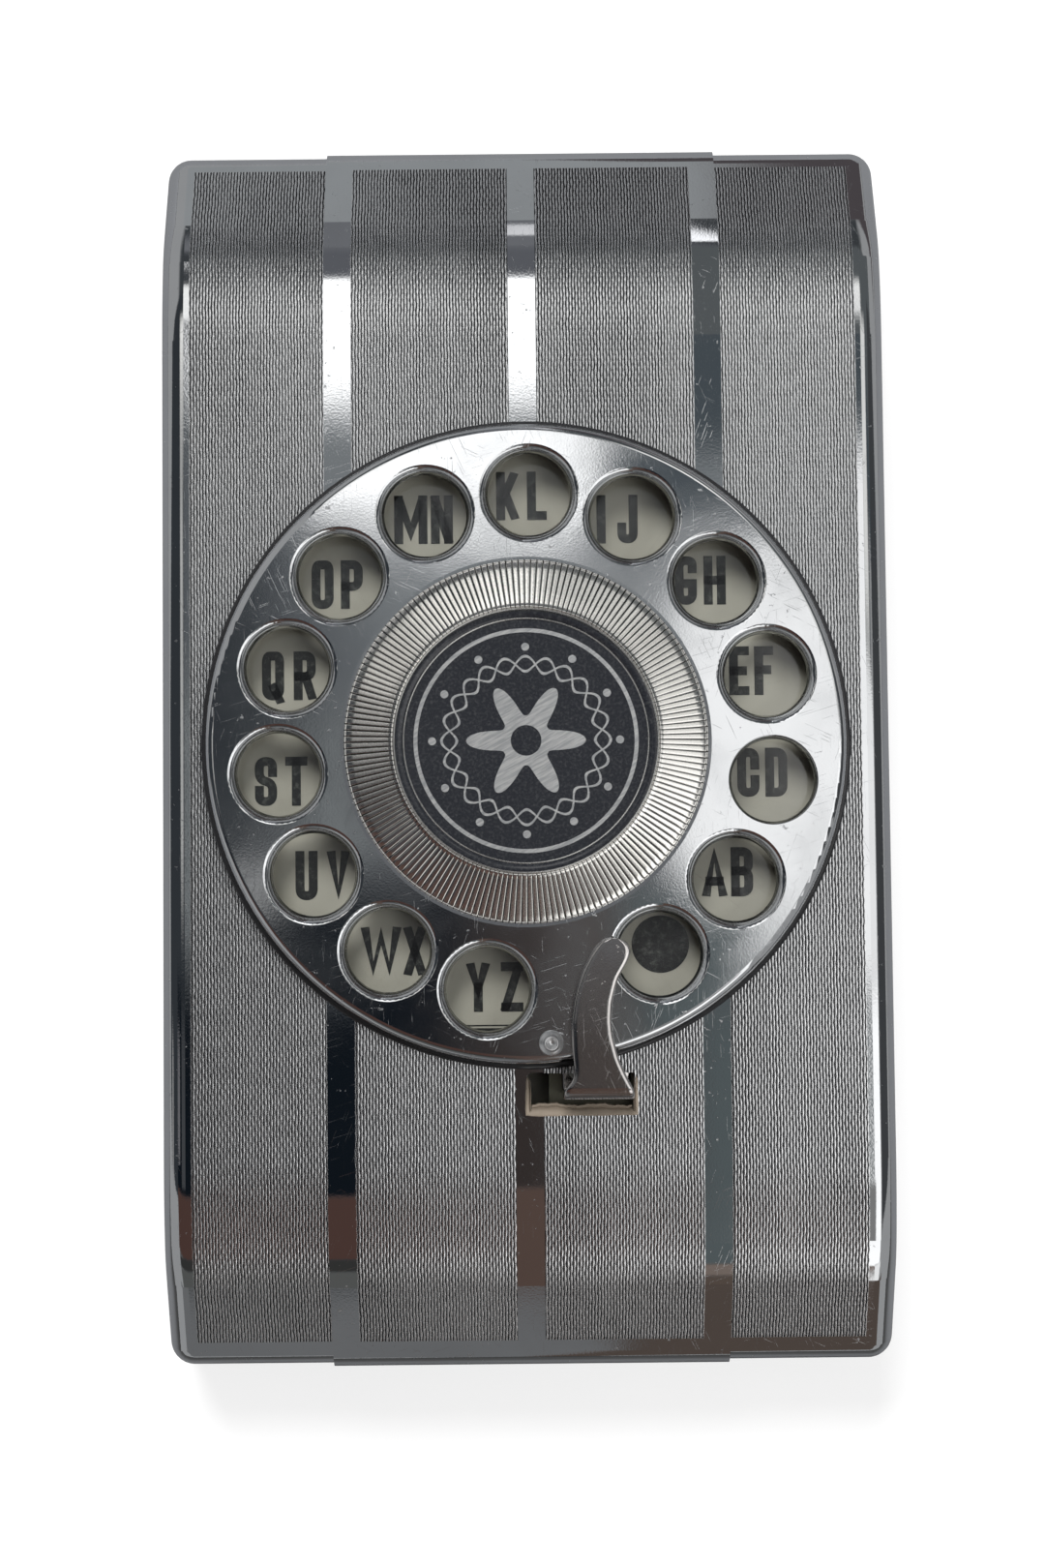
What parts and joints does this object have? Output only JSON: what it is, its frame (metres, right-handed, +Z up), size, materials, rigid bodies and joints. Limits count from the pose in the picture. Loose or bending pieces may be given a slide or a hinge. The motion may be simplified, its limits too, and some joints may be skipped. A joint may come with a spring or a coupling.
{
  "type": "pop up telephone index",
  "caption": "Flat desk index with a textured metal lid, a letter dial with finger holes, a finger stop and hinged index leaves.",
  "frame": {"origin": "on the surface the rubber feet stand on, under the middle of the case", "axes": "+X to the right seen from the front, +Y to the rear, where the hinge is, +Z up"},
  "size_m": [0.108, 0.184, 0.0369],
  "materials": {
    "polished_lid": "pressed and plated sheet, textured panels between polished bands",
    "black_enamel": "black stove enamel",
    "bright_chrome": "polished chromium plate",
    "zinc_steel": "dull zinc plate",
    "spring_steel": "oiled spring wire",
    "bush_brass": "turned",
    "card": "matt printed card",
    "clear_sheet": "clear sheet",
    "black_disc": "gloss black with silver print",
    "foot_rubber": "matt"
  },
  "bodies": {
    "base": {"base_tray": "black_enamel", "rubber_feet": "foot_rubber", "floor_card": "card", "binder_plate": "zinc_steel", "binder_rings": "zinc_steel", "binder_rivets": "zinc_steel", "base_hinge_leaf": "zinc_steel", "hinge_pin": "zinc_steel", "hinge_rivets": "zinc_steel", "lid_spring_left": "spring_steel", "lid_spring_right": "spring_steel", "catch_post": "zinc_steel", "catch_rivet": "zinc_steel"},
    "lid": {"lid_shell": "polished_lid", "lid_hinge_leaf": "zinc_steel", "dial_base": "black_enamel", "dial_base_screws": "zinc_steel", "letter_card": "card", "clear_cover": "clear_sheet", "spindle_bush": "bush_brass", "rack_rail": "zinc_steel", "arm_rail": "zinc_steel", "latch_studs": "zinc_steel", "stop_spring": "spring_steel", "spring_lug": "zinc_steel"},
    "dial": {"finger_wheel": "bright_chrome", "stop_stud": "bright_chrome", "hub_ring": "bright_chrome", "hub_bezel": "bright_chrome", "hub_plate": "black_disc", "hub_nut": "zinc_steel", "dial_spindle": "zinc_steel", "drive_pinion": "zinc_steel", "retaining_clip": "zinc_steel"},
    "selector": {"selector_frame": "zinc_steel", "selector_rack": "zinc_steel", "selector_hook": "zinc_steel", "guide_stud": "zinc_steel", "rack_rivets": "zinc_steel"},
    "finger_stop": {"finger_stop": "bright_chrome", "latch_slide": "zinc_steel", "stop_rivets": "zinc_steel"},
    "leaf_01": {"index_leaf_01": "card"},
    "leaf_02": {"index_leaf_02": "card"},
    "leaf_03": {"index_leaf_03": "card"},
    "leaf_04": {"index_leaf_04": "card"},
    "leaf_05": {"index_leaf_05": "card"},
    "leaf_06": {"index_leaf_06": "card"},
    "leaf_07": {"index_leaf_07": "card"},
    "leaf_08": {"index_leaf_08": "card"},
    "leaf_09": {"index_leaf_09": "card"},
    "leaf_10": {"index_leaf_10": "card"},
    "leaf_11": {"index_leaf_11": "card"},
    "leaf_12": {"index_leaf_12": "card"},
    "leaf_13": {"index_leaf_13": "card"}
  },
  "joints": [
    {"name": "lid_hinge", "type": "hinge", "parent": "base", "child": "lid", "pos_m": [0, 0.0885, 0.0074], "axis": [-1, 0, 0], "range_deg": [0, 72]},
    {"name": "dial_turn", "type": "hinge", "parent": "lid", "child": "dial", "pos_m": [0, 0, 0.034], "axis": [0, 0, -1], "range_deg": [0, 319.15]},
    {"name": "selector_slide", "type": "slide", "parent": "lid", "child": "selector", "axis": [1, 0, 0], "range_m": [0, 0.0402]},
    {"name": "finger_stop_slide", "type": "slide", "parent": "lid", "child": "finger_stop", "axis": [-1, 0, 0], "range_m": [0, 0.0045], "stiffness_N_per_m": 60},
    {"name": "leaf_01_turn", "type": "hinge", "parent": "base", "child": "leaf_01", "pos_m": [0, 0.0732, 0.0087], "axis": [-1, 0, 0], "range_deg": [0, 76]},
    {"name": "leaf_02_turn", "type": "hinge", "parent": "base", "child": "leaf_02", "pos_m": [0, 0.0732, 0.0087], "axis": [-1, 0, 0], "range_deg": [0, 76]},
    {"name": "leaf_03_turn", "type": "hinge", "parent": "base", "child": "leaf_03", "pos_m": [0, 0.0732, 0.0087], "axis": [-1, 0, 0], "range_deg": [0, 76]},
    {"name": "leaf_04_turn", "type": "hinge", "parent": "base", "child": "leaf_04", "pos_m": [0, 0.0732, 0.0087], "axis": [-1, 0, 0], "range_deg": [0, 76]},
    {"name": "leaf_05_turn", "type": "hinge", "parent": "base", "child": "leaf_05", "pos_m": [0, 0.0732, 0.0087], "axis": [-1, 0, 0], "range_deg": [0, 76]},
    {"name": "leaf_06_turn", "type": "hinge", "parent": "base", "child": "leaf_06", "pos_m": [0, 0.0732, 0.0087], "axis": [-1, 0, 0], "range_deg": [0, 76]},
    {"name": "leaf_07_turn", "type": "hinge", "parent": "base", "child": "leaf_07", "pos_m": [0, 0.0732, 0.0087], "axis": [-1, 0, 0], "range_deg": [0, 76]},
    {"name": "leaf_08_turn", "type": "hinge", "parent": "base", "child": "leaf_08", "pos_m": [0, 0.0732, 0.0087], "axis": [-1, 0, 0], "range_deg": [0, 76]},
    {"name": "leaf_09_turn", "type": "hinge", "parent": "base", "child": "leaf_09", "pos_m": [0, 0.0732, 0.0087], "axis": [-1, 0, 0], "range_deg": [0, 76]},
    {"name": "leaf_10_turn", "type": "hinge", "parent": "base", "child": "leaf_10", "pos_m": [0, 0.0732, 0.0087], "axis": [-1, 0, 0], "range_deg": [0, 76]},
    {"name": "leaf_11_turn", "type": "hinge", "parent": "base", "child": "leaf_11", "pos_m": [0, 0.0732, 0.0087], "axis": [-1, 0, 0], "range_deg": [0, 76]},
    {"name": "leaf_12_turn", "type": "hinge", "parent": "base", "child": "leaf_12", "pos_m": [0, 0.0732, 0.0087], "axis": [-1, 0, 0], "range_deg": [0, 76]},
    {"name": "leaf_13_turn", "type": "hinge", "parent": "base", "child": "leaf_13", "pos_m": [0, 0.0732, 0.0087], "axis": [-1, 0, 0], "range_deg": [0, 76]}
  ],
  "couplings": [
    {"joint": "selector_slide", "follows": "dial_turn", "m_per_rad": 0.0072},
    {"joint": "leaf_01_turn", "follows": "lid_hinge", "ratio": 1.05},
    {"joint": "leaf_02_turn", "follows": "lid_hinge", "ratio": 1.045},
    {"joint": "leaf_03_turn", "follows": "lid_hinge", "ratio": 1.04},
    {"joint": "leaf_04_turn", "follows": "lid_hinge", "ratio": 1.035},
    {"joint": "leaf_05_turn", "follows": "lid_hinge", "ratio": 1.03},
    {"joint": "leaf_06_turn", "follows": "lid_hinge", "ratio": 1.025},
    {"joint": "leaf_07_turn", "follows": "lid_hinge", "ratio": 1.02},
    {"joint": "leaf_08_turn", "follows": "lid_hinge", "ratio": 0.06},
    {"joint": "leaf_09_turn", "follows": "lid_hinge", "ratio": 0.05},
    {"joint": "leaf_10_turn", "follows": "lid_hinge", "ratio": 0.04},
    {"joint": "leaf_11_turn", "follows": "lid_hinge", "ratio": 0.03},
    {"joint": "leaf_12_turn", "follows": "lid_hinge", "ratio": 0.02},
    {"joint": "leaf_13_turn", "follows": "lid_hinge", "ratio": 0.01}
  ]
}
